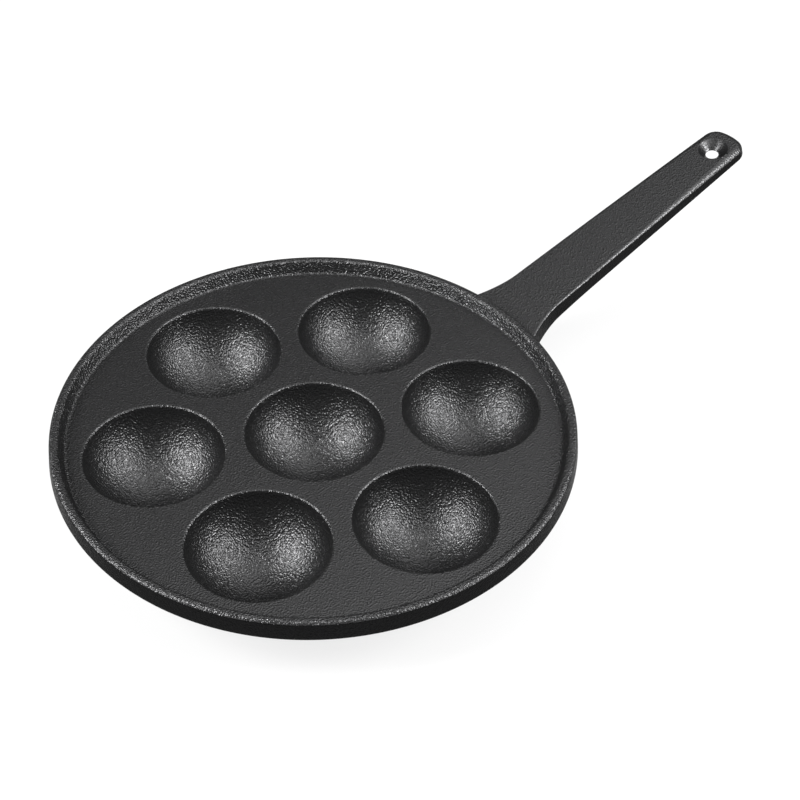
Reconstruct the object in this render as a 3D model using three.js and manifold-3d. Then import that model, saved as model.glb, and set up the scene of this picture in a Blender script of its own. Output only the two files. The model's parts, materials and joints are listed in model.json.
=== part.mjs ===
// Cast-iron pancake pan: a round plate with a low rim, seven round wells and a long flat handle.
// Millimetres, +Z up. The origin is the middle of the centre well's foot, on the plane that the pan
// stands on, and the handle points along +X.

import * as THREE from 'three';
import { mergeVertices } from 'three/addons/utils/BufferGeometryUtils.js';
import Module from 'manifold-3d';

const wasm = await Module();
wasm.setup();

// Wells: one in the middle and a ring of them around it.
const RING_WELLS = 6;
const WELL_RADIUS = 28;          // at the cooking surface
const WELL_DEPTH = 25;           // below the cooking surface
const WELL_LIP = 1;              // rounding of the well's edge
const WELL_LAND = 8.7;           // flat iron between the middle well and a ring well
const SHELL = 4;                 // wall of a well
const FLOOR = 3;                 // iron left under a well where its foot is ground flat
const SHELL_FILLET = 2;          // where a well's shell runs into the plate's underside

// Plate and rim.
const PLATE_THICKNESS = 3.6;
const RIM_LAND = 6.1;            // flat iron between a ring well and the foot of the rim
const RIM_HEIGHT = 5.6;          // above the cooking surface
const RIM_SLOPE = 2.4;           // how far the inner face of the rim leans out
const RIM_BAND = 3.8;            // top of the rim
const RIM_DRAFT = 1;             // how much further out the wall stands at its bottom than at its top
const RIM_ROUND = 1.6;           // both top edges of the rim
const RIM_FILLET = 2;            // foot of the rim's inner face
const WALL_ROUND = 2;            // bottom edge of the wall

// Handle.
const HANDLE_REACH = 153;        // from the rim to the tip
const HANDLE_DROP = 2.1;         // how far its top lies below the cooking surface at the rim
const HANDLE_RISE = 0.171;       // climb of its top for each millimetre outwards
const HANDLE_ROOT_THICKNESS = 7.8;  // at the rim, before the swell
const HANDLE_TIP_THICKNESS = 5.6;
const HANDLE_ROOT_WIDTH = 28;    // at the rim, before the flare
const HANDLE_TIP_WIDTH = 20.6;
const HANDLE_DRAFT = 0.4;        // how much wider each side is at the bottom
const HANDLE_UNDER_ROUND = 1;    // bottom edges
const HANDLE_ROOT_ROUND = 0.8;   // top edges at the rim
const HANDLE_TIP_ROUND = 3.5;    // top edges at the tip
const TIP_CROWN = 1.8;           // how far the middle of the end stands out beyond its corners
const TIP_CROWN_ROUND = 20;
const TIP_CORNER_ROUND = 8;

// Root of the handle: it flares out and swells down to the rim, and runs on under the plate as a tongue.
const SWELL = 3.2;               // added thickness at the rim
const SWELL_REACH = 45;          // from the rim to where the swell starts
const FLARE_REACH = 10.3;        // from the rim to the corner that the flare rounds
const FLARE_ANGLE = 31.6;        // degrees between the handle's side and the flare
const FLARE_ROUND = 50;
const SHOULDER_INSET = 6;        // from the rim inwards to the tongue's widest place
const SHOULDER_ROUND = 8;
const TONGUE_INSET = 19;         // from the rim inwards to the tongue's corners
const TONGUE_WIDTH = 24;         // between those corners
const TONGUE_ROUND = 8;
const TONGUE_CROWN = 2;          // how far the tongue's end stands in beyond its corners
const TONGUE_END = 1.8;          // height of the tongue's end under the plate
const FAIRING_REACH = 6;         // from the rim outwards to where the underside starts to turn up
const ROOT_GAP = 0.3;            // seam between the handle and the pan

// Hanging hole, upright as the mould's two halves left it: it narrows to a waist and widens again.
const HOLE_INSET = 14;           // from the tip to the hole's axis
const WAIST_RADIUS = 3;
const WAIST_DEPTH = 3.2;         // below the handle's top
const HOLE_TOP_RADIUS = 6.6;     // at the handle's top
const HOLE_BACK_RADIUS = 5.9;    // at its underside
const HOLE_OVERRUN = 3;          // how far the hole's cones are carried on beyond those faces

// Facets.
const RIM_SEGMENTS = 84;
const WELL_SEGMENTS = 32;
const SHELL_SEGMENTS = 24;
const HOLE_SEGMENTS = 32;
const BOWL_STEPS = 7;
const SHELL_STEPS = 5;
const ROUND_STEPS = 3;
const CROWN_STEPS = 4;           // an even count, so that one point lies on the handle's middle
const FLARE_STEPS = 8;
const HANDLE_STEP = 12;          // longest stretch of the handle's outline without a point
const ON_MIDDLE = 1e-9;          // a point this near the handle's middle counts as on it

// Places worked out from those sizes.
const ring_radius = 2 * WELL_RADIUS + WELL_LAND;
const rim_radius = ring_radius + WELL_RADIUS + RIM_LAND + RIM_SLOPE + RIM_BAND;
const plate_top = WELL_DEPTH + FLOOR;
const bowl_radius = (WELL_RADIUS ** 2 + WELL_DEPTH ** 2) / (2 * WELL_DEPTH);
const bowl_centre = bowl_radius - WELL_DEPTH;
const tip_reach = rim_radius + HANDLE_REACH;
const hole_reach = tip_reach - HOLE_INSET;

const iron = new THREE.MeshStandardMaterial({ color: 0x2a2a2b, roughness: 0.5, metalness: 0.4 });

// Solids and outlines

function toSolid(geometry) {
  geometry.deleteAttribute('normal');
  geometry.deleteAttribute('uv');
  const merged = mergeVertices(geometry);
  const corners = merged.index.array;
  const triangles = [];
  for (let i = 0; i < corners.length; i += 3) {
    const [a, b, c] = corners.slice(i, i + 3);
    if (a !== b && b !== c && c !== a) triangles.push(a, b, c);
  }
  return new wasm.Manifold(new wasm.Mesh({
    numProp: 3,
    vertProperties: new Float32Array(merged.attributes.position.array),
    triVerts: new Uint32Array(triangles),
  }));
}

function toMesh(name, solid) {
  const { vertProperties, triVerts } = solid.getMesh();
  const geometry = new THREE.BufferGeometry();
  geometry.setAttribute('position', new THREE.BufferAttribute(vertProperties, 3));
  geometry.setIndex(new THREE.BufferAttribute(triVerts, 1));
  geometry.computeVertexNormals();
  const mesh = new THREE.Mesh(geometry, iron);
  mesh.name = name;
  return mesh;
}

// Turns a profile of [radius, height] points about an upright axis through (x, y).
function turned(profile, segments, x = 0, y = 0) {
  const points = profile.map(([radius, height]) => new THREE.Vector2(radius, height));
  const geometry = new THREE.LatheGeometry(points, segments);
  geometry.rotateX(Math.PI / 2).translate(x, y, plate_top);
  return toSolid(geometry);
}

// Points on an arc between two angles in radians, ends included.
function arc(centreX, centreY, radius, from, to, steps) {
  return Array.from({ length: steps + 1 }, (_, i) => {
    const angle = from + (to - from) * i / steps;
    return [centreX + radius * Math.cos(angle), centreY + radius * Math.sin(angle)];
  });
}

// Rounds the inner corners of an outline. A corner is [x, y, radius, steps]. Arcs that would run into
// each other on the side between them share its length.
function roundCorners(corners) {
  const points = corners.map(([x, y]) => new THREE.Vector2(x, y));
  const sidesAt = (i) => [points[i - 1], points[i + 1]].map((point) => point.clone().sub(points[i]));
  const halfAngleAt = (i) => {
    const [before, after] = sidesAt(i);
    return Math.abs(before.angleTo(after)) / 2;
  };
  const cuts = corners.map(([, , radius], i) => radius ? radius / Math.tan(halfAngleAt(i)) : 0);
  return corners.flatMap(([x, y, radius, steps = ROUND_STEPS], i) => {
    if (!radius) return [[x, y]];
    const half = halfAngleAt(i);
    const [before, after] = sidesAt(i);
    const share = Math.min(
      1, before.length() / (cuts[i - 1] + cuts[i]), after.length() / (cuts[i] + cuts[i + 1]));
    const cut = cuts[i] * share;
    const round = cut * Math.tan(half);
    const [start, end] = [before, after].map((side) => side.clone().setLength(cut).add(points[i]));
    const centre = before.clone().normalize().add(after.clone().normalize());
    centre.setLength(round / Math.sin(half)).add(points[i]);
    const from = start.clone().sub(centre).angle();
    const sweep = end.clone().sub(centre).angle() - from;
    const turn = sweep - 2 * Math.PI * Math.round(sweep / (2 * Math.PI));
    return arc(centre.x, centre.y, round, from, from + turn, steps);
  });
}

// Adds points so that no stretch of an outline is longer than the given step.
function refine(points, step) {
  return points.flatMap(([x, y], i) => {
    if (i === 0) return [[x, y]];
    const [lastX, lastY] = points[i - 1];
    const count = Math.ceil(Math.hypot(x - lastX, y - lastY) / step);
    return Array.from({ length: count }, (_, k) => {
      const share = (k + 1) / count;
      return [lastX + (x - lastX) * share, lastY + (y - lastY) * share];
    });
  });
}

// Pan

// The plate and its rim, turned from one profile. Heights count from the cooking surface.
function plate() {
  const land = rim_radius - RIM_BAND;
  return turned(roundCorners([
    [0, -PLATE_THICKNESS],
    [rim_radius + RIM_DRAFT, -PLATE_THICKNESS, WALL_ROUND],
    [rim_radius, RIM_HEIGHT, RIM_ROUND],
    [land, RIM_HEIGHT, RIM_ROUND],
    [land - RIM_SLOPE, 0, RIM_FILLET],
    [0, 0],
  ]), RIM_SEGMENTS);
}

// The hollow of a well: part of a ball, opening through a rounded lip into the cooking surface.
function hollow(x, y) {
  const lip_reach = Math.sqrt((bowl_radius + WELL_LIP) ** 2 - (bowl_centre + WELL_LIP) ** 2);
  const edge = Math.atan2(-WELL_LIP - bowl_centre, lip_reach);
  return turned([
    ...arc(0, bowl_centre, bowl_radius, -Math.PI / 2, edge, BOWL_STEPS),
    ...arc(lip_reach, -WELL_LIP, WELL_LIP, edge + Math.PI, Math.PI / 2, ROUND_STEPS).slice(1),
    [lip_reach, RIM_HEIGHT],
    [0, RIM_HEIGHT],
  ], WELL_SEGMENTS, x, y);
}

// The shell of a well under the plate: a ball around the hollow, ground flat at its foot.
function shell(x, y) {
  const radius = bowl_radius + SHELL;
  const fillet_height = -PLATE_THICKNESS - SHELL_FILLET;
  const rise = fillet_height - bowl_centre;
  const fillet_reach = Math.sqrt((radius + SHELL_FILLET) ** 2 - rise ** 2);
  const edge = Math.atan2(rise, fillet_reach);
  const foot = -Math.asin((bowl_radius + FLOOR) / radius);
  return turned([
    [0, -plate_top],
    ...arc(0, bowl_centre, radius, foot, edge, SHELL_STEPS),
    ...arc(fillet_reach, fillet_height, SHELL_FILLET, edge + Math.PI, Math.PI / 2, ROUND_STEPS).slice(1),
    [fillet_reach, -PLATE_THICKNESS / 2],
    [0, -PLATE_THICKNESS / 2],
  ], SHELL_SEGMENTS, x, y);
}

function wellPlaces() {
  const places = [[0, 0]];
  for (let i = 0; i < RING_WELLS; i++) {
    const angle = (i + 0.5) * 2 * Math.PI / RING_WELLS;
    places.push([ring_radius * Math.cos(angle), ring_radius * Math.sin(angle)]);
  }
  return places;
}

function pan() {
  const places = wellPlaces();
  const outside = places.reduce((solid, [x, y]) => solid.add(shell(x, y)), plate());
  return places.reduce((solid, [x, y]) => solid.subtract(hollow(x, y)), outside);
}

// Handle

// One side of the handle seen from above, from the middle of the tip to the middle of the tongue.
function handleSide() {
  const tip = HANDLE_TIP_WIDTH / 2;
  const root = HANDLE_ROOT_WIDTH / 2;
  const flare = root - (root - tip) * FLARE_REACH / HANDLE_REACH;
  const shoulder = flare + (FLARE_REACH + SHOULDER_INSET) * Math.tan(THREE.MathUtils.degToRad(FLARE_ANGLE));
  const tongue = rim_radius - TONGUE_INSET;
  const outline = roundCorners([
    [tip_reach - TIP_CROWN, -tip],
    [tip_reach, 0, TIP_CROWN_ROUND, CROWN_STEPS],
    [tip_reach - TIP_CROWN, tip, TIP_CORNER_ROUND],
    [rim_radius + FLARE_REACH, flare, FLARE_ROUND, FLARE_STEPS],
    [rim_radius - SHOULDER_INSET, shoulder, SHOULDER_ROUND],
    [tongue, TONGUE_WIDTH / 2, TONGUE_ROUND],
    [tongue - TONGUE_CROWN, 0],
  ]);
  return refine(outline.filter(([, y]) => y > -ON_MIDDLE).map(([x, y]) => [x, Math.abs(y)]), HANDLE_STEP);
}

// Level inside the rim, and climbing from there to the tip.
function handleTop(x) {
  return plate_top - HANDLE_DROP + HANDLE_RISE * Math.max(0, x - rim_radius);
}

// Thins towards the tip, and swells towards the rim.
function handleThickness(x) {
  const along = (x - rim_radius) / HANDLE_REACH;
  const swell = Math.max(0, 1 - (x - rim_radius) / SWELL_REACH);
  return THREE.MathUtils.lerp(HANDLE_ROOT_THICKNESS, HANDLE_TIP_THICKNESS, along) + SWELL * swell ** 2;
}

// The underside turns up under the rim to meet the plate.
function handleUnderside(x) {
  const start = rim_radius + FAIRING_REACH;
  const end = rim_radius - TONGUE_INSET - TONGUE_CROWN;
  const along = Math.max(0, (start - x) / (start - end));
  const climb = plate_top - PLATE_THICKNESS - TONGUE_END - (handleTop(end) - handleThickness(end));
  return handleTop(x) - handleThickness(x) + climb * along ** 2;
}

// The top edges get rounder towards the tip.
function topRound(x) {
  const along = THREE.MathUtils.clamp((x - rim_radius) / HANDLE_REACH, 0, 1);
  return THREE.MathUtils.lerp(HANDLE_ROOT_ROUND, HANDLE_TIP_ROUND, along ** 2);
}

// Lofts the handle through rings that follow its outline, from the bottom face to the top face. The
// rings are drawn in to round the edges.
function handleBlank() {
  const side = handleSide();
  const last = side.length - 1;
  const inward = side.map((_, i) => {
    if (i === 0) return new THREE.Vector2(-1, 0);
    if (i === last) return new THREE.Vector2(1, 0);
    const [[x0, y0], [x1, y1]] = [side[i - 1], side[i + 1]];
    return new THREE.Vector2(y0 - y1, x1 - x0).normalize();
  });
  const quarter = Array.from({ length: ROUND_STEPS + 1 }, (_, i) => i / ROUND_STEPS * Math.PI / 2);
  const rings = [
    ...quarter.map((angle) => ({
      inset: () => HANDLE_UNDER_ROUND * (1 - Math.sin(angle)) - HANDLE_DRAFT,
      height: (x) => handleUnderside(x) + HANDLE_UNDER_ROUND * (1 - Math.cos(angle)),
    })),
    ...quarter.map((angle) => ({
      inset: (x) => topRound(x) * (1 - Math.cos(angle)),
      height: (x) => handleTop(x) - topRound(x) * (1 - Math.sin(angle)),
    })),
  ];

  const positions = [];
  const loop = 2 * last;
  for (const { inset, height } of rings) {
    for (let i = 0; i < loop; i++) {
      const k = i <= last ? i : loop - i;
      const [x, y] = side[k];
      const along = x + inset(x) * inward[k].x;
      const across = y + inset(x) * inward[k].y;
      positions.push(along, i <= last ? across : -across, height(along));
    }
  }

  const triangles = [];
  const quad = (a, b, c, d) => triangles.push(a, b, c, a, c, d);
  for (let r = 0; r < rings.length - 1; r++) {
    for (let i = 0; i < loop; i++) {
      const next = (i + 1) % loop;
      quad(r * loop + i, r * loop + next, (r + 1) * loop + next, (r + 1) * loop + i);
    }
  }
  const top = (rings.length - 1) * loop;
  for (let i = 0; i < last; i++) {
    const [a, b, c, d] = [i, i + 1, (loop - i - 1) % loop, (loop - i) % loop];
    quad(d, c, b, a);
    quad(top + a, top + b, top + c, top + d);
  }

  const geometry = new THREE.BufferGeometry();
  geometry.setAttribute('position', new THREE.Float32BufferAttribute(positions, 3));
  geometry.setIndex(triangles);
  return toSolid(geometry);
}

// The room of the hanging hole: two cones that meet at its waist.
function hangingHole() {
  const top = handleTop(hole_reach) - plate_top;
  const bottom = handleUnderside(hole_reach) - plate_top;
  const waist = top - WAIST_DEPTH;
  const top_cone = (HOLE_TOP_RADIUS - WAIST_RADIUS) / WAIST_DEPTH;
  const back_cone = (HOLE_BACK_RADIUS - WAIST_RADIUS) / (waist - bottom);
  return turned([
    [0, bottom - HOLE_OVERRUN],
    [HOLE_BACK_RADIUS + back_cone * HOLE_OVERRUN, bottom - HOLE_OVERRUN],
    [WAIST_RADIUS, waist],
    [HOLE_TOP_RADIUS + top_cone * HOLE_OVERRUN, top + HOLE_OVERRUN],
    [0, top + HOLE_OVERRUN],
  ], HOLE_SEGMENTS, hole_reach, 0);
}

// The room that the plate and its wall take up, with the seam around them.
function plateRoom() {
  return turned(roundCorners([
    [0, -PLATE_THICKNESS - ROOT_GAP],
    [rim_radius + RIM_DRAFT + ROOT_GAP, -PLATE_THICKNESS - ROOT_GAP, WALL_ROUND + ROOT_GAP],
    [rim_radius + ROOT_GAP, RIM_HEIGHT],
    [0, RIM_HEIGHT],
  ]), RIM_SEGMENTS);
}

function handle() {
  return handleBlank().subtract(hangingHole()).subtract(plateRoom());
}

const pancakePan = new THREE.Group();
pancakePan.add(toMesh('pan', pan()), toMesh('handle', handle()));

export default pancakePan;
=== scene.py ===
"""Cast-iron pan for ball pancakes, modelled on its packed CAD frame.

The pan and its handle are one casting. They are made here as the two pieces that the frame names.
Lengths are in metres, +Z is up and the handle runs along +X. The pan stands on z = 0.
"""

import json
import math

import bmesh
import bpy
from bpy.props import FloatProperty, FloatVectorProperty, IntProperty, PointerProperty
from bpy.types import Operator, Panel, PropertyGroup
from mathutils import Matrix, Vector
from mathutils.geometry import intersect_line_line


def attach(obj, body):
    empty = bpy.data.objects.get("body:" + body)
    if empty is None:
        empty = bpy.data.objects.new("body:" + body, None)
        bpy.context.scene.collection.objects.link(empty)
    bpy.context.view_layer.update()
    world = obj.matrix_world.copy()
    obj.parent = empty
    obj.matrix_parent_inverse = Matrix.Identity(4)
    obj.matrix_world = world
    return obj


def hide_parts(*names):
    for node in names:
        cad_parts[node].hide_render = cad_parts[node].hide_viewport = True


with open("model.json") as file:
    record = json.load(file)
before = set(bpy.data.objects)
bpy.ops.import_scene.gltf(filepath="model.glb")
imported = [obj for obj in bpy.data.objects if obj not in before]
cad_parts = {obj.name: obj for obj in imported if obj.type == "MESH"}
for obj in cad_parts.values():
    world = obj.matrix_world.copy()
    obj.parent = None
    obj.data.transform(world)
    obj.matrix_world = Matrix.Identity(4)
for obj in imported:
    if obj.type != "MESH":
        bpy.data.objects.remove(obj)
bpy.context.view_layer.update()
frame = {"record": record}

bl_info = {
    "name": "Ball Pancake Pan",
    "version": (1, 0, 0),
    "blender": (4, 5, 0),
    "location": "View3D > Sidebar > Pancake Pan",
    "description": "Models a cast-iron pan with seven round wells and a long flat handle",
    "category": "Object",
}

OPENINGS = {opening["name"]: opening["box_m"] for opening in frame["record"]["physics"]["openings"]}
PLATE_TOP = OPENINGS["well_middle"][1][2]

IMAGE_SIDE = 800                 # pixels
SENSOR = 36                      # millimetres
UPRIGHT = Vector((0, 0, 1))
SIDEWAYS = Vector((1, 0, 0))
TOP, OUTSIDE, INSIDE, RIM = range(4)   # material slots of a piece; inside means the wells or the hole

MERGE = 1e-5                     # points closer than this are one
LEVEL = 1e-5                     # points this near a height lie on it
HOLD = 0.0002                    # ring on a flat face beside a rounding, which keeps the flat shaded flat
NEIGHBOUR_REACH = 1.01           # wells closer than this many ring radii are neighbours
RIM_COAT = 0.6                   # share of the rim's outer rounding, from the top, that has the rim's coat
FILLET_FULL, FILLET_END = 0.011, 0.0185   # where the root fillet starts to shrink and where it ends
ROW_CLEARANCE = 0.00025          # from the root fillet's corner up to its lowest row on the wall
SINK = 0.00003                   # how far the root fillet's edge lies under the handle's top
PROBE = 0.001                    # step outwards for measuring a slope

RIM_STEPS = 360
RIM_ROUND_STEPS = 8
FILLET_ROWS = 8
WELL_STEPS = 120                 # a multiple of 12, so that neighbouring shells meet point to point
BOWL_STEPS, LIP_STEPS = 30, 6
SHELL_STEPS, SHELL_FILLET_STEPS, FOOT_STEPS = 16, 5, 4
HOLE_STEPS, MOUTH_STEPS = 64, 4
SIDE_CUTS = 36                   # along each straight side of the handle
UNDER_STEPS, OVER_STEPS = 5, 8   # across the rounding of the handle's bottom edges and of its top edges
# the outside coat's far darker colour is painted shade
PAINTED_SHADE_ROWS = 9                    # rows of the handle's loft, from the bottom up, in the outside coat

GRAIN_DETAIL = 0.6
GRAIN_RANGE = 0.35, 0.65         # of the grain's noise, from pits to tips
FLOOR_REACH = 20                 # from the floor's middle to its sides
FLOOR_GAP = 0.0001               # from the feet down to the floor, so that they share no plane
PAPER_ROUGHNESS = 0.9
WHITE_AT_PAN = 0.8               # share of plain white in the floor at the pan; the rest takes its shadow
SHADOW_REACH = 0.3, 0.9          # from the middle of the pan to where its shadow fades and where it ends
LOW_WALL = 0.06                  # sine of the angle up to which the iron mirrors a white wall


def length(name, description, default):
    return FloatProperty(name=name, description=description, default=default, unit="LENGTH", precision=5)


def angle(name, description, degrees):
    return FloatProperty(
        name=name, description=description, default=math.radians(degrees), subtype="ANGLE")


def share(name, description, default):
    return FloatProperty(
        name=name, description=description, default=default, min=0, max=1, subtype="FACTOR")


def amount(name, description, default, subtype="NONE"):
    return FloatProperty(name=name, description=description, default=default, min=0, subtype=subtype)


def colour(name, description, default):
    return FloatVectorProperty(
        name=name, description=description, default=default, min=0, max=1, subtype="COLOR")


class WellSizes(PropertyGroup):
    """Round wells and the ball-shaped shells under them"""

    ring_count: IntProperty(name="Wells on Ring", description="Wells around the middle one", default=6)
    radius: length("Radius", "Radius of a well at the cooking surface", 0.028)
    depth: length("Depth", "Depth of a well below the cooking surface", 0.025)
    lip: length("Lip", "Rounding of a well's edge", 0.001)
    land: length("Land", "Flat iron between the middle well and a ring well", 0.0087)
    shell: length("Shell", "Wall of a well", 0.004)
    fillet: length("Fillet", "Rounding where a shell runs into the plate", 0.002)
    foot_round: length("Foot Rounding", "Edge of the flat foot under a well", 0.0005)


class PlateSizes(PropertyGroup):
    """Plate and the rim around it"""

    thickness: length("Thickness", "Thickness of the plate", 0.0036)
    land: length("Land", "Flat iron between a ring well and the rim", 0.0069)
    height: length("Rim Height", "Height of the rim above the cooking surface", 0.0056)
    slope: length("Rim Slope", "How far the rim's inner face leans out", 0.002)
    band: length("Rim Band", "Width of the rim's top", 0.0034)
    draft: length("Wall Draft", "How much further out the wall stands at its bottom", 0.00095)
    edge: length("Rim Edges", "Rounding of the rim's two top edges", 0.0016)
    foot: length("Rim Foot", "Rounding at the foot of the rim's inner face", 0.0012)
    bottom: length("Wall Bottom", "Rounding of the wall's bottom edge", 0.002)
    root_fillet: length("Root Fillet", "Rounding between the wall and the handle's top", 0.003)


class HandleSizes(PropertyGroup):
    """Flat handle, its flared root and its tongue under the plate"""

    reach: length("Reach", "From the rim to the tip", 0.153)
    drop: length("Drop", "Depth of the top below the cooking surface at the rim", 0.0021)
    rise: amount("Rise", "Climb of the top for each metre outwards", 0.1707)
    root_thickness: length("Root Thickness", "Thickness at the rim before the swell", 0.0078)
    tip_thickness: length("Tip Thickness", "Thickness at the tip", 0.0056)
    root_width: length("Root Width", "Width at the rim before the flare", 0.028)
    tip_width: length("Tip Width", "Width at the tip", 0.0206)
    draft: length("Draft", "How much wider each side is at the bottom", 0.0004)
    under_round: length("Lower Edges", "Rounding of the bottom edges", 0.001)
    root_round: length("Root Edges", "Rounding of the top edges at the rim", 0.0008)
    tip_round: length("Tip Edges", "Rounding of the top edges at the tip", 0.0035)
    crown: length("Crown", "How far the middle of the end stands out", 0.0018)
    crown_bend: length("Crown Bend", "Bend of the end's middle, seen from above", 0.02)
    tip_corner: length("Tip Corners", "Rounding of the end's corners, seen from above", 0.0068)
    swell: length("Swell", "Added thickness at the rim", 0.0032)
    swell_reach: length("Swell Reach", "From the rim to where the swell starts", 0.045)
    flare_reach: length("Flare Reach", "From the rim to the corner of the flare", 0.0103)
    flare_angle: angle("Flare Angle", "Angle between the flare and the handle", 31.6)
    flare_bend: length("Flare Bend", "Bend from the handle's side into the flare", 0.05)
    shoulder: length("Shoulder", "From the rim in to the tongue's widest place", 0.006)
    shoulder_bend: length("Shoulder Bend", "Rounding of the tongue's widest place", 0.0074)
    tongue: length("Tongue", "From the rim in to the tongue's corners", 0.019)
    tongue_width: length("Tongue Width", "Width between the tongue's corners", 0.024)
    tongue_corner: length("Tongue Corners", "Rounding of the tongue's corners", 0.008)
    tongue_crown: length("Tongue Crown", "How far the tongue's end stands in", 0.002)
    tongue_bend: length("Tongue Bend", "Bend of the middle of the tongue's end", 0.01)
    tongue_end: length("Tongue End", "Height of the tongue's end under the plate", 0.0018)
    fairing: length("Fairing", "From the rim out to where the underside turns up", 0.006)


class HoleSizes(PropertyGroup):
    """Hanging hole: two cones that meet at a waist"""

    inset: length("Inset", "From the tip to the hole's axis", 0.014)
    waist: length("Waist", "Radius at the narrowest place", 0.0027)
    waist_depth: length("Waist Depth", "Depth of the waist below the handle's top", 0.0032)
    top: length("Top", "Radius at the handle's top", 0.0068)
    back: length("Back", "Radius at the underside", 0.0059)
    mouth_round: length("Mouth Rounding", "Rounding of the waist and both mouths", 0.0004)


class IronFinish(PropertyGroup):
    """Black coat over fine cast grain"""

    colour: colour("Colour", "Colour of the reflections on top and in the wells", (0.062, 0.062, 0.063))
    # painted shade: far darker than the top's colour, it keeps the outside dark though it mirrors the white
    # floor
    painted_shade_colour: colour(
        "Outside Colour", "Colour of the reflections outside and underneath", (0.0084, 0.0084, 0.0086))
    shade: share("Shade", "How much darker pits and lighter tips are", 0.1)
    metal: share("Metal", "Share of the light that is mirrored and not scattered", 0.9)
    glancing: share("Glancing", "Reflection at a glancing angle, as a share of smooth metal's", 0.5)
    smooth: share("Tips", "Roughness of the tips of the grain", 0.25)
    rough: share("Pits", "Roughness in the pits of the grain", 0.42)
    grain: length("Grain", "Width of a grain of the sand mould", 0.0007)
    grain_depth: length("Grain Depth", "Depth of the grain in the wells and outside", 0.00042)
    rim_depth: length("Rim Depth", "Depth of the grain on the rim", 0.00055)
    satin_depth: length("Satin Depth", "Depth of the grain on the plate and the handle", 0.00024)
    rubbed_depth: length("Rubbed Depth", "Depth of the grain where hooks rub in the hole", 0.00008)


class StudioSettings(PropertyGroup):
    """Floor, lamps and camera"""

    floor: colour("Floor", "Colour of the floor", (0.8, 0.8, 0.8))
    right_power: amount("Right Lamp", "Power of the lamp on the right", 12.3, "POWER")
    left_power: amount("Left Lamp", "Power of the lamp on the left", 17, "POWER")
    top_power: amount("Top Lamp", "Power of the wide lamp above", 10.2, "POWER")
    room: amount("Room Light", "Brightness of the room around the object", 0.08)
    distance: length("Distance", "From the camera to the middle of the plate", 0.71547)
    lift: angle("Lift", "Angle of the camera above the plate", 44.12)
    turn: angle("Turn", "Angle of the camera around the pan", -39.607)
    yaw: angle("Yaw", "Turn of the camera to the left", -2.78)
    pitch: angle("Pitch", "Tilt of the camera upwards", 0.88)
    roll: angle("Roll", "Roll of the camera", 1.91)
    focus: amount("Focal Length", "Focal length in pixels of the image", 1778.8, "PIXEL")


def wire(bm, points, closed=False):
    """Joins a few points into a wire and returns its corners."""
    corners = [bm.verts.new(point) for point in points]
    for pair in zip(corners, corners[1:]):
        bm.edges.new(pair)
    if closed:
        bm.edges.new((corners[-1], corners[0]))
    return corners


def round_corner(bm, corner, radius, segments):
    """Rounds a corner of a wire to a radius."""
    sides = [edge.other_vert(corner).co - corner.co for edge in corner.link_edges]
    half = sides[0].angle(sides[1]) / 2
    bmesh.ops.bevel(
        bm, geom=[corner], offset=radius / math.tan(half), offset_type="OFFSET", affect="VERTICES",
        segments=segments, profile=0.5, material=-1)


def draw_line(bm, point, to):
    """Draws a straight side of a profile on from its last point."""
    drawn = bmesh.ops.extrude_vert_indiv(bm, verts=[point])["verts"][0]
    drawn.co = to
    return drawn


def draw_arc(bm, point, centre, sweep, steps):
    """Draws an arc of a profile on from its last point, about a centre in the upright plane."""
    drawn = bmesh.ops.spin(bm, geom=[point], cent=centre, axis=(0, -1, 0), angle=sweep, steps=steps)
    return next(part for part in drawn["geom_last"] if isinstance(part, bmesh.types.BMVert))


def turn_profile(bm, centre, steps):
    """Turns the whole wire of a bmesh once round an upright axis and closes its pole."""
    bmesh.ops.spin(
        bm, geom=bm.verts[:] + bm.edges[:], cent=centre, axis=UPRIGHT, angle=2 * math.pi, steps=steps,
        use_merge=True)
    bmesh.ops.remove_doubles(bm, verts=bm.verts, dist=MERGE)


def add_shape(bm, shape):
    """Adds a finished shape to a bmesh."""
    mesh = bpy.data.meshes.new("shape")
    shape.to_mesh(mesh)
    shape.free()
    bm.from_mesh(mesh)
    bpy.data.meshes.remove(mesh)


def open_edges(bm, height):
    """Edges at a height that have a face on one side only."""
    return [edge for edge in bm.edges
            if edge.is_boundary and all(abs(vert.co.z - height) < LEVEL for vert in edge.verts)]


def finish_piece(bm, name, node, coats):
    """Makes a closed bmesh a smooth piece of iron, in the coats of its slots, that stands for a CAD node."""
    bmesh.ops.remove_doubles(bm, verts=bm.verts, dist=MERGE)
    open_count = sum(not edge.is_manifold for edge in bm.edges)
    if open_count:
        raise RuntimeError(f"{name} has {open_count} open edges")
    bmesh.ops.recalc_face_normals(bm, faces=bm.faces)
    for face in bm.faces:
        face.smooth = True
    mesh = bpy.data.meshes.new(name)
    bm.to_mesh(mesh)
    bm.free()
    for coat in coats:
        mesh.materials.append(iron_coat(coat))
    piece = bpy.data.objects.new(name, mesh)
    bpy.context.scene.collection.objects.link(piece)
    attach(piece, "root")
    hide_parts(node)


def ring_radius(wells):
    return 2 * wells.radius + wells.land


def rim_radius(wells, plate):
    return ring_radius(wells) + wells.radius + plate.land + plate.slope + plate.band


def well_centres(wells):
    """Centres of the wells on the cooking surface, the middle one first."""
    centres = [Vector((0, 0, PLATE_TOP))]
    for i in range(wells.ring_count):
        spoke = Matrix.Rotation((i + 0.5) * 2 * math.pi / wells.ring_count, 4, "Z")
        centres.append(spoke @ Vector((ring_radius(wells), 0, PLATE_TOP)))
    return centres


def bowl_radius(wells):
    return (wells.radius ** 2 + wells.depth ** 2) / (2 * wells.depth)


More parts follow.
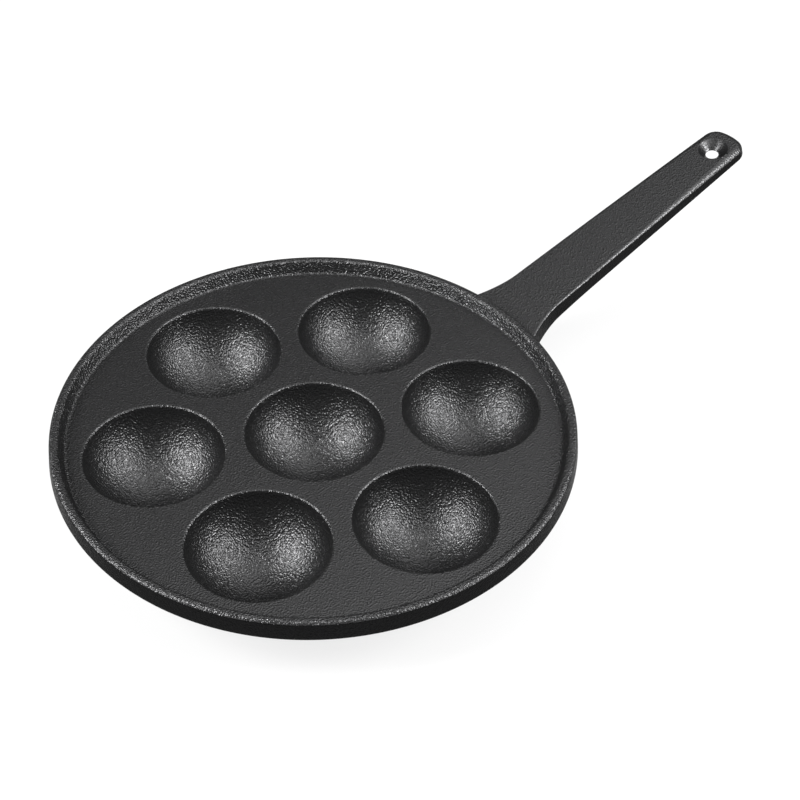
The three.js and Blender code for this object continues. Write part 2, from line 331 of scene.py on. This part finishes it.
def well_hollow(wells, centre):
    """Inside of a well: part of a ball that opens through a rounded lip."""
    ball = bowl_radius(wells)
    ball_height = ball - wells.depth
    lip_reach = math.sqrt((ball + wells.lip) ** 2 - (ball_height + wells.lip) ** 2)
    edge = math.atan2(-wells.lip - ball_height, lip_reach)
    bm = bmesh.new()
    point = bm.verts.new(centre - wells.depth * UPRIGHT)
    point = draw_arc(bm, point, centre + ball_height * UPRIGHT, edge + math.pi / 2, BOWL_STEPS)
    lip_centre = centre + Vector((lip_reach, 0, -wells.lip))
    point = draw_arc(bm, point, lip_centre, -math.pi / 2 - edge, LIP_STEPS)
    draw_line(bm, point, centre + Vector((lip_reach + HOLD, 0, 0)))
    turn_profile(bm, centre, WELL_STEPS)
    for face in bm.faces:
        face.material_index = INSIDE
    return bm


def well_shell(wells, plate, centre, neighbours):
    """Outside of a well under the plate: a ball with a flat foot, cut where its neighbours begin."""
    ball = bowl_radius(wells) + wells.shell
    ball_height = bowl_radius(wells) - wells.depth
    fillet_height = -plate.thickness - wells.fillet
    fillet_reach = math.sqrt((ball + wells.fillet) ** 2 - (fillet_height - ball_height) ** 2)
    edge = math.atan2(fillet_height - ball_height, fillet_reach)
    foot = -math.asin((ball_height + PLATE_TOP) / ball)
    bm = bmesh.new()
    middle = bm.verts.new(centre - PLATE_TOP * UPRIGHT)
    foot_edge = draw_line(bm, middle, centre + Vector((ball * math.cos(foot), 0, -PLATE_TOP)))
    point = draw_arc(bm, foot_edge, centre + ball_height * UPRIGHT, edge - foot, SHELL_STEPS)
    fillet_centre = centre + Vector((fillet_reach, 0, fillet_height))
    point = draw_arc(bm, point, fillet_centre, -math.pi / 2 - edge, SHELL_FILLET_STEPS)
    draw_line(bm, point, centre + Vector((fillet_reach + HOLD, 0, -plate.thickness)))
    round_corner(bm, foot_edge, wells.foot_round, FOOT_STEPS)
    turn_profile(bm, centre, WELL_STEPS)
    for neighbour in neighbours:
        bmesh.ops.bisect_plane(
            bm, geom=bm.verts[:] + bm.edges[:] + bm.faces[:], plane_co=(centre + neighbour) / 2,
            plane_no=neighbour - centre, clear_outer=True)
    for face in bm.faces:
        face.material_index = OUTSIDE
    return bm


class HandleShape:
    """Heights, edges and outline of the handle at any distance from the pan's middle."""

    def __init__(self, wells, plate, handle):
        self.sizes = handle
        self.rim = rim_radius(wells, plate)
        self.tip = self.rim + handle.reach
        self.tongue_end = self.rim - handle.tongue - handle.tongue_crown
        self.plate_bottom = PLATE_TOP - plate.thickness

    def along(self, x):
        return (x - self.rim) / self.sizes.reach

    def top(self, x):
        """Level inside the rim, and climbing from there to the tip."""
        return PLATE_TOP - self.sizes.drop + self.sizes.rise * max(0, x - self.rim)

    def thickness(self, x):
        """Thins towards the tip, and swells towards the rim."""
        sizes = self.sizes
        plain = sizes.root_thickness + (sizes.tip_thickness - sizes.root_thickness) * self.along(x)
        return plain + sizes.swell * max(0, 1 - (x - self.rim) / sizes.swell_reach) ** 2

    def underside(self, x):
        """Turns up under the rim to meet the plate."""
        start = self.rim + self.sizes.fairing
        turned_up = max(0, (start - x) / (start - self.tongue_end)) ** 2
        low = self.top(self.tongue_end) - self.thickness(self.tongue_end)
        climb = self.plate_bottom - self.sizes.tongue_end - low
        return self.top(x) - self.thickness(x) + climb * turned_up

    def top_round(self, x):
        """The top edges get rounder towards the tip."""
        sizes = self.sizes
        return sizes.root_round + (sizes.tip_round - sizes.root_round) * min(1, max(0, self.along(x))) ** 2

    def corners(self):
        """Corners of one side seen from above, as (along, across, rounding, segments)."""
        sizes = self.sizes
        tip, root = sizes.tip_width / 2, sizes.root_width / 2
        flare = root - (root - tip) * sizes.flare_reach / sizes.reach
        shoulder = flare + (sizes.flare_reach + sizes.shoulder) * math.tan(sizes.flare_angle)
        return [
            (self.tip - sizes.crown, tip, sizes.tip_corner, 10),
            (self.rim + sizes.flare_reach, flare, sizes.flare_bend, 14),
            (self.rim - sizes.shoulder, shoulder, sizes.shoulder_bend, 8),
            (self.rim - sizes.tongue, sizes.tongue_width / 2, sizes.tongue_corner, 6),
        ]


class RootFillet:
    """Rounding between the rim's outer wall and the handle's top."""

    def __init__(self, radius, top_edge, bottom_edge, handle):
        out = Vector((1, 0, handle.sizes.rise)).normalized()
        self.up = (top_edge - bottom_edge).normalized()
        start = Vector((handle.rim, 0, handle.top(handle.rim)))
        self.corner = intersect_line_line(top_edge, bottom_edge, start, start + out)[0]
        half = self.up.angle(out) / 2
        self.handle = handle
        self.cut = radius / math.tan(half)
        self.to_centre = (self.up + out).normalized() * radius / math.sin(half)
        self.sweep = math.pi - 2 * half

    def height(self, i):
        """Distance of a row of points above the corner, as a share of the fillet's height."""
        return 1 - i / FILLET_ROWS * (1 - ROW_CLEARANCE / self.cut)

    def rows(self):
        return [self.corner + self.up * self.cut * self.height(i) for i in range(FILLET_ROWS + 1)]

    def shape(self, bm):
        """Draws the wall's rows out onto the handle, less and less towards the handle's sides."""
        wall = [vert for vert in bm.verts if vert.co.x > 0 and vert.co.xy.length > self.handle.rim]
        rings = [[vert for vert in wall if abs(vert.co.z - row.z) < LEVEL] for row in self.rows()]
        for i, ring in enumerate(rings):
            for vert in ring:
                spread = self.spread(abs(vert.co.y))
                done = 1 - (1 - i / FILLET_ROWS) / spread if spread else 0
                if done <= 0:
                    continue
                turned = Matrix.Rotation(-done * self.sweep, 3, "Y") @ (self.up * self.cut - self.to_centre)
                place = self.corner + spread * (self.to_centre + turned)
                heading = vert.co.xy.normalized()
                vert.co.xy = heading * place.x
                sunk = self.handle.top(vert.co.x) - self.handle.top(place.x) - done * SINK
                vert.co.z = place.z + done * sunk
                for face in vert.link_faces:
                    face.material_index = TOP

    def spread(self, across):
        """Size of the fillet at a distance from the handle's middle, as a share of its full size."""
        along = min(1, max(0, (across - FILLET_FULL) / (FILLET_END - FILLET_FULL)))
        return 1 - along * along * (3 - 2 * along)


def rim(plate, shape):
    """Rim and outer wall of the plate, with the fillet that runs out onto the handle."""
    outer = shape.rim
    inner = outer - plate.band - plate.slope
    top_edge = Vector((outer, 0, PLATE_TOP + plate.height))
    bottom_edge = Vector((outer + plate.draft, 0, PLATE_TOP - plate.thickness))
    root = RootFillet(plate.root_fillet, top_edge, bottom_edge, shape)
    bm = bmesh.new()
    corners = wire(bm, [
        Vector((inner - plate.foot, 0, PLATE_TOP)),
        Vector((inner, 0, PLATE_TOP)),
        top_edge - plate.band * SIDEWAYS,
        top_edge,
        *root.rows(),
        bottom_edge,
        bottom_edge - 2 * plate.bottom * SIDEWAYS,
    ])
    for i, radius in ((1, plate.foot), (2, plate.edge), (3, plate.edge), (-2, plate.bottom)):
        round_corner(bm, corners[i], radius, RIM_ROUND_STEPS)
    turn_profile(bm, (0, 0, 0), RIM_STEPS)
    # faces on the wall and underneath take the outside slot, whose coat is darker by painted shade
    for face in bm.faces:
        middle = face.calc_center_median()
        outward = middle.xy.length > outer - plate.edge
        on_wall = outward and middle.z < top_edge.z - RIM_COAT * plate.edge
        face.material_index = OUTSIDE if on_wall or middle.z < PLATE_TOP - LEVEL else RIM
    root.shape(bm)
    return bm


def cast_grain(tree, width):
    """Noise on the piece's own coordinates, with grains about as wide as given."""
    noise = tree.nodes.new("ShaderNodeTexNoise")
    noise.inputs["Scale"].default_value = 1 / width
    noise.inputs["Detail"].default_value = GRAIN_DETAIL
    tree.links.new(tree.nodes.new("ShaderNodeTexCoord").outputs["Object"], noise.inputs["Vector"])
    return noise.outputs["Fac"]


def stretch(tree, value, source, target):
    """Stretches one range of a value to another."""
    node = tree.nodes.new("ShaderNodeMapRange")
    node.inputs["From Min"].default_value, node.inputs["From Max"].default_value = source
    node.inputs["To Min"].default_value, node.inputs["To Max"].default_value = target
    tree.links.new(value, node.inputs["Value"])
    return node.outputs["Result"]


def combine(tree, operation, first, second):
    """Combines two values by a Math node."""
    node = tree.nodes.new("ShaderNodeMath")
    node.operation = operation
    tree.links.new(first, node.inputs[0])
    tree.links.new(second, node.inputs[1])
    return node.outputs["Value"]


def blend_colours(tree, factor, first, second):
    """Blends two colours by a factor."""
    node = tree.nodes.new("ShaderNodeMix")
    node.data_type = "RGBA"
    tree.links.new(factor, node.inputs["Factor"])
    node.inputs["A"].default_value = (*first, 1)
    node.inputs["B"].default_value = (*second, 1)
    return node.outputs["Result"]


def rays(tree):
    """Marks of the rays that come from the camera, and of those that a surface mirrors or lets through."""
    ray = tree.nodes.new("ShaderNodeLightPath").outputs
    mirrored = combine(tree, "MAXIMUM", ray["Is Glossy Ray"], ray["Is Transmission Ray"])
    return ray["Is Camera Ray"], mirrored


def iron_coat(name):
    """Black coat on sand-cast iron, made when a piece first asks for it."""
    if name in bpy.data.materials:
        return bpy.data.materials[name]
    finish = bpy.context.scene.pancake_finish
    tint, depth = {
        "satin_iron": (finish.colour, finish.satin_depth),
        "gritty_iron": (finish.colour, finish.grain_depth),
        "sandy_iron": (finish.colour, finish.rim_depth),
        # the outside coat is the wells' coat in a far darker colour: painted shade on the outer wall and
        # underside
        "painted_shade_iron": (finish.painted_shade_colour, finish.grain_depth),
        "rubbed_iron": (finish.colour, finish.rubbed_depth),
    }[name]
    material = bpy.data.materials.new(name)
    material.use_nodes = True
    tree = material.node_tree
    coat = tree.nodes["Principled BSDF"]
    coat.inputs["Metallic"].default_value = finish.metal
    coat.inputs["Specular Tint"].default_value = (finish.glancing, finish.glancing, finish.glancing, 1)
    grain = cast_grain(tree, finish.grain)
    tips = stretch(tree, grain, GRAIN_RANGE, (0, 1))
    tone = blend_colours(tree, tips, tint * (1 - finish.shade), tint * (1 + finish.shade))
    tree.links.new(tone, coat.inputs["Base Color"])
    tree.links.new(stretch(tree, tips, (0, 1), (finish.rough, finish.smooth)), coat.inputs["Roughness"])
    bump = tree.nodes.new("ShaderNodeBump")
    bump.inputs["Strength"].default_value = 1
    bump.inputs["Distance"].default_value = depth
    tree.links.new(grain, bump.inputs["Height"])
    tree.links.new(bump.outputs["Normal"], coat.inputs["Normal"])
    return material


class PANCAKE_OT_cast_pan(Operator):
    """Cast the plate with its rim and its round wells"""

    bl_idname = "pancake.cast_pan"
    bl_label = "Cast Pan"

    def execute(self, context):
        wells, plate, handle = (
            context.scene.pancake_wells, context.scene.pancake_plate, context.scene.pancake_handle)
        bm = bmesh.new()
        add_shape(bm, rim(plate, HandleShape(wells, plate, handle)))
        centres = well_centres(wells)
        for centre in centres:
            neighbours = [other for other in centres
                          if 0 < (other - centre).length < NEIGHBOUR_REACH * ring_radius(wells)]
            add_shape(bm, well_hollow(wells, centre))
            add_shape(bm, well_shell(wells, plate, centre, neighbours))
        bmesh.ops.remove_doubles(bm, verts=bm.verts, dist=MERGE)

        bmesh.ops.triangle_fill(bm, edges=open_edges(bm, PLATE_TOP), use_beauty=True, normal=UPRIGHT)
        between_wells = ring_radius(wells) * math.cos(math.pi / wells.ring_count)
        edges = open_edges(bm, PLATE_TOP - plate.thickness)
        inner = [edge for edge in edges if all(vert.co.xy.length < between_wells for vert in edge.verts)]
        outer = [edge for edge in edges if edge not in inner]
        for ring in (inner, outer):
            filled = bmesh.ops.triangle_fill(bm, edges=ring, use_beauty=True, normal=-UPRIGHT)
            for part in filled["geom"]:
                if isinstance(part, bmesh.types.BMFace):
                    part.material_index = OUTSIDE
        finish_piece(bm, "pan_casting", "pan", ("satin_iron", "painted_shade_iron", "gritty_iron", "sandy_iron"))
        return {"FINISHED"}


def handle_outline(bm, shape):
    """Draws the handle's outline from above and returns its points in order, the tip's middle first."""
    side = shape.corners()
    far_side = [(x, -y, radius, segments) for x, y, radius, segments in reversed(side)]
    tip = (shape.tip, 0, shape.sizes.crown_bend, 6)
    tongue = (shape.tongue_end, 0, shape.sizes.tongue_bend, 4)
    plan = [tip, *side, tongue, *far_side]
    corners = wire(bm, [(x, y, 0) for x, y, _, _ in plan], closed=True)
    for corner, (_, _, radius, segments) in zip(corners, plan):
        round_corner(bm, corner, radius, segments)
    straight = [edge for edge in bm.edges if edge.calc_length() > shape.sizes.reach / 2]
    bmesh.ops.subdivide_edges(bm, edges=straight, cuts=SIDE_CUTS)

    first = max(bm.verts, key=lambda vert: vert.co.x)
    edge = max(first.link_edges, key=lambda edge: edge.other_vert(first).co.y)
    ordered = [first]
    while True:
        vert = edge.other_vert(ordered[-1])
        if vert == first:
            return ordered
        ordered.append(vert)
        edge = next(other for other in vert.link_edges if other != edge)


def quarter_round(steps):
    """Angles from 0 to a right angle."""
    return [i / steps * math.pi / 2 for i in range(steps + 1)]


def handle_rings(shape):
    """How far each ring of the loft is drawn in from the outline, and its height, from the bottom up."""
    sizes = shape.sizes
    under = sizes.under_round
    rings = [(lambda x: under + HOLD - sizes.draft, shape.underside)]
    for turned in quarter_round(UNDER_STEPS):
        rings.append((
            lambda x, turned=turned: under * (1 - math.sin(turned)) - sizes.draft,
            lambda x, turned=turned: shape.underside(x) + under * (1 - math.cos(turned))))
    for turned in quarter_round(OVER_STEPS):
        rings.append((
            lambda x, turned=turned: shape.top_round(x) * (1 - math.cos(turned)),
            lambda x, turned=turned: shape.top(x) - shape.top_round(x) * (1 - math.sin(turned))))
    rings.append((lambda x: shape.top_round(x) + HOLD, shape.top))
    return rings


def loft_handle(bm, shape):
    """Lofts the handle's sides and returns its bottom and top rings, in the outline's order."""
    station = bm.verts.layers.int.new("station")
    outline = handle_outline(bm, shape)
    places, inward = [], []
    for i, vert in enumerate(outline):
        vert[station] = i
        run = outline[(i + 1) % len(outline)].co - outline[i - 1].co
        places.append(vert.co.copy())
        inward.append(Vector((-run.y, run.x, 0)).normalized())

    def place(ring, vert):
        inset, height = ring
        i = vert[station]
        vert.co = places[i] + inset(places[i].x) * inward[i]
        vert.co.z = height(vert.co.x)

    rings = handle_rings(shape)
    edges = bm.edges[:]
    for vert in outline:
        place(rings[0], vert)
    for i, ring in enumerate(rings[1:]):
        drawn = bmesh.ops.extrude_edge_only(bm, edges=edges)["geom"]
        verts = [part for part in drawn if isinstance(part, bmesh.types.BMVert)]
        edges = [part for part in drawn
                 if isinstance(part, bmesh.types.BMEdge) and all(vert in verts for vert in part.verts)]
        for part in drawn:
            if isinstance(part, bmesh.types.BMFace):
                part.material_index = OUTSIDE if i < PAINTED_SHADE_ROWS else TOP
        for vert in verts:
            place(ring, vert)
    return outline, sorted(verts, key=lambda vert: vert[station])


def hanging_hole(bm, shape, hole):
    """Turns the hole in the handle and returns the edges of its back and top mouths."""
    x = shape.tip - hole.inset
    top, bottom = shape.top(x), shape.underside(x)
    drawn = bmesh.new()
    corners = wire(drawn, [(x + radius, 0, height) for radius, height in (
        (hole.back + 2 * hole.mouth_round, bottom),
        (hole.back, bottom),
        (hole.waist, top - hole.waist_depth),
        (hole.top, top),
        (hole.top + 2 * hole.mouth_round, top),
    )])
    for corner in corners[1:4]:
        round_corner(drawn, corner, hole.mouth_round, MOUTH_STEPS)
    turn_profile(drawn, (x, 0, 0), HOLE_STEPS)
    for face in drawn.faces:
        face.material_index = INSIDE
    slopes = [(height(x + PROBE) - height(x)) / PROBE for height in (shape.underside, shape.top)]
    for vert in drawn.verts:
        up = (vert.co.z - bottom) / (top - bottom)
        vert.co.z += (vert.co.x - x) * (slopes[0] + (slopes[1] - slopes[0]) * up)
    before = set(bm.edges)
    add_shape(bm, drawn)
    middle = shape.top(x) - shape.thickness(x) / 2
    mouths = [edge for edge in bm.edges if edge not in before and edge.is_boundary]

    def is_top(edge):
        vert = edge.verts[0]
        return vert.co.z - shape.sizes.rise * (vert.co.x - x) > middle

    return [edge for edge in mouths if not is_top(edge)], [edge for edge in mouths if is_top(edge)]


def close_face(bm, ring, mouth, split, normal, slot):
    """Closes the handle's top or bottom: around the hole's mouth, then in strips across to the tongue."""
    count = len(ring)
    cross = bm.edges.new((ring[split], ring[count - split]))
    edge_between = {frozenset(edge.verts): edge for edge in bm.edges if edge.is_boundary}

    def run(start, end):
        return [edge_between[frozenset((ring[i % count], ring[(i + 1) % count]))] for i in range(start, end)]

    middle = count // 2
    around = run(count - split, count + split) + [cross] + mouth
    faces = bmesh.ops.triangle_fill(bm, edges=around, use_beauty=True, normal=normal)["geom"]
    faces += bmesh.ops.bridge_loops(
        bm, edges=run(split, middle - 1) + run(middle + 1, count - split))["faces"]
    faces.append(bm.faces.new([ring[middle - 1], ring[middle], ring[middle + 1]]))
    for part in faces:
        if isinstance(part, bmesh.types.BMFace):
            part.material_index = slot


class PANCAKE_OT_cast_handle(Operator):
    """Cast the handle with its hanging hole"""

    bl_idname = "pancake.cast_handle"
    bl_label = "Cast Handle"

    def execute(self, context):
        scene = context.scene
        shape = HandleShape(scene.pancake_wells, scene.pancake_plate, scene.pancake_handle)
        bm = bmesh.new()
        bottom_ring, top_ring = loft_handle(bm, shape)
        back_mouth, top_mouth = hanging_hole(bm, shape, scene.pancake_hole)
        behind_hole = shape.tip - 2 * scene.pancake_hole.inset
        half = range(len(top_ring) // 2)
        split = min(half, key=lambda i: abs(top_ring[i].co.x - behind_hole))
        close_face(bm, bottom_ring, back_mouth, split, -UPRIGHT, OUTSIDE)
        close_face(bm, top_ring, top_mouth, split, UPRIGHT, TOP)
        finish_piece(bm, "handle_casting", "handle", ("satin_iron", "painted_shade_iron", "rubbed_iron"))
        return {"FINISHED"}


class PANCAKE_OT_set_stage(Operator):
    """Set up the floor, the lamps, the room and the camera"""

    bl_idname = "pancake.set_stage"
    bl_label = "Set Stage"

    def execute(self, context):
        studio = context.scene.pancake_studio
        self.lay_floor(context, studio)
        self.light_room(context, studio)
        for name, direction, distance, size, power in (
                ("right_lamp", (0.80, -0.17, 0.56), 1.0, (0.45, 0.45), studio.right_power),
                ("left_lamp", (-0.77, -0.13, 0.625), 1.0, (0.45, 0.45), studio.left_power),
                ("top_lamp", (0.32, 0.14, 0.94), 1.2, (1.4, 1.2), studio.top_power)):
            self.hang_lamp(context, studio, name, direction, distance, size, power)
        self.place_camera(context, studio)
        context.scene.view_settings.view_transform = "Standard"
        return {"FINISHED"}

    def lay_floor(self, context, studio):
        """Lays white paper that takes the pan's shadow and turns plain white away from it."""
        bm = bmesh.new()
        bmesh.ops.create_grid(
            bm, x_segments=1, y_segments=1, size=FLOOR_REACH,
            matrix=Matrix.Translation(-FLOOR_GAP * UPRIGHT))
        mesh = bpy.data.meshes.new("floor")
        bm.to_mesh(mesh)
        bm.free()
        material = bpy.data.materials.new("floor_paper")
        material.use_nodes = True
        tree = material.node_tree
        paper = tree.nodes["Principled BSDF"]
        paper.inputs["Base Color"].default_value = (*studio.floor, 1)
        paper.inputs["Roughness"].default_value = PAPER_ROUGHNESS
        paper.inputs["Specular IOR Level"].default_value = 0
        white = tree.nodes.new("ShaderNodeEmission")
        blend = tree.nodes.new("ShaderNodeMixShader")
        seen = combine(tree, "MAXIMUM", *rays(tree))
        place = tree.nodes.new("ShaderNodeVectorMath")
        place.operation = "LENGTH"
        tree.links.new(tree.nodes.new("ShaderNodeTexCoord").outputs["Object"], place.inputs[0])
        whiteness = stretch(tree, place.outputs["Value"], SHADOW_REACH, (WHITE_AT_PAN, 1))
        tree.links.new(combine(tree, "MULTIPLY", seen, whiteness), blend.inputs["Fac"])
        tree.links.new(paper.outputs["BSDF"], blend.inputs[1])
        tree.links.new(white.outputs["Emission"], blend.inputs[2])
        tree.links.new(blend.outputs["Shader"], tree.nodes["Material Output"].inputs["Surface"])
        mesh.materials.append(material)
        floor = bpy.data.objects.new("floor", mesh)
        context.scene.collection.objects.link(floor)

    def light_room(self, context, studio):
        """Lights the room dimly; it looks white to the camera, and low down in reflections."""
        world = bpy.data.worlds.new("room")
        world.use_nodes = True
        context.scene.world = world
        tree = world.node_tree
        background = tree.nodes["Background"]
        background.inputs["Color"].default_value = (1, 1, 1, 1)
        direction = tree.nodes.new("ShaderNodeSeparateXYZ")
        tree.links.new(tree.nodes.new("ShaderNodeTexCoord").outputs["Generated"], direction.inputs["Vector"])
        low_wall = stretch(tree, direction.outputs["Z"], (LOW_WALL, 0), (0, 1))
        from_camera, mirrored = rays(tree)
        white = combine(tree, "MAXIMUM", from_camera, combine(tree, "MULTIPLY", mirrored, low_wall))
        tree.links.new(stretch(tree, white, (0, 1), (studio.room, 1)), background.inputs["Strength"])

    def hang_lamp(self, context, studio, name, direction, distance, size, power):
        """Hangs a soft rectangular lamp that faces the pan; directions are seen from the camera."""
        towards = Matrix.Rotation(studio.turn, 3, "Z") @ Vector(direction).normalized()
        light = bpy.data.lights.new(name, "AREA")
        light.shape = "RECTANGLE"
        light.size, light.size_y = size
        light.energy = power
        lamp = bpy.data.objects.new(name, light)
        lamp.location = towards * distance
        lamp.rotation_euler = (-towards).to_track_quat("-Z", "Y").to_euler()
        context.scene.collection.objects.link(lamp)

    def place_camera(self, context, studio):
        """Swings the camera round the middle of the plate, then aims it."""
        optics = bpy.data.cameras.new("camera")
        optics.sensor_width = SENSOR
        optics.lens = studio.focus * SENSOR / IMAGE_SIDE
        camera = bpy.data.objects.new("camera", optics)
        swing = Matrix.Rotation(studio.turn, 4, "Z") @ Matrix.Rotation(math.pi / 2 - studio.lift, 4, "X")
        aim = (Matrix.Rotation(studio.yaw, 4, "Y") @ Matrix.Rotation(studio.pitch, 4, "X")
               @ Matrix.Rotation(-studio.roll, 4, "Z"))
        camera.matrix_world = (
            Matrix.Translation(PLATE_TOP * UPRIGHT) @ swing
            @ Matrix.Translation(studio.distance * UPRIGHT) @ aim)
        context.scene.collection.objects.link(camera)
        context.scene.camera = camera


class PANCAKE_PT_panel(Panel):
    """Steps that make the pan, and its sizes and finish"""

    bl_label = "Pancake Pan"
    bl_space_type = "VIEW_3D"
    bl_region_type = "UI"
    bl_category = "Pancake Pan"

    def draw(self, context):
        for operator in OPERATORS:
            self.layout.operator(operator.bl_idname)
        for name, settings in SETTINGS.items():
            column = self.layout.column(align=True)
            column.label(text=settings.__doc__)
            for value in settings.__annotations__:
                column.prop(getattr(context.scene, name), value)


SETTINGS = {
    "pancake_wells": WellSizes,
    "pancake_plate": PlateSizes,
    "pancake_handle": HandleSizes,
    "pancake_hole": HoleSizes,
    "pancake_finish": IronFinish,
    "pancake_studio": StudioSettings,
}
OPERATORS = (PANCAKE_OT_cast_pan, PANCAKE_OT_cast_handle, PANCAKE_OT_set_stage)
CLASSES = (*SETTINGS.values(), *OPERATORS, PANCAKE_PT_panel)


def register():
    for cls in CLASSES:
        bpy.utils.register_class(cls)
    for name, settings in SETTINGS.items():
        setattr(bpy.types.Scene, name, PointerProperty(type=settings))


def unregister():
    for name in SETTINGS:
        delattr(bpy.types.Scene, name)
    for cls in reversed(CLASSES):
        bpy.utils.unregister_class(cls)


def main():
    register()
    bpy.ops.pancake.cast_pan()
    bpy.ops.pancake.cast_handle()
    bpy.ops.pancake.set_stage()


if __name__ == "__main__":
    main()
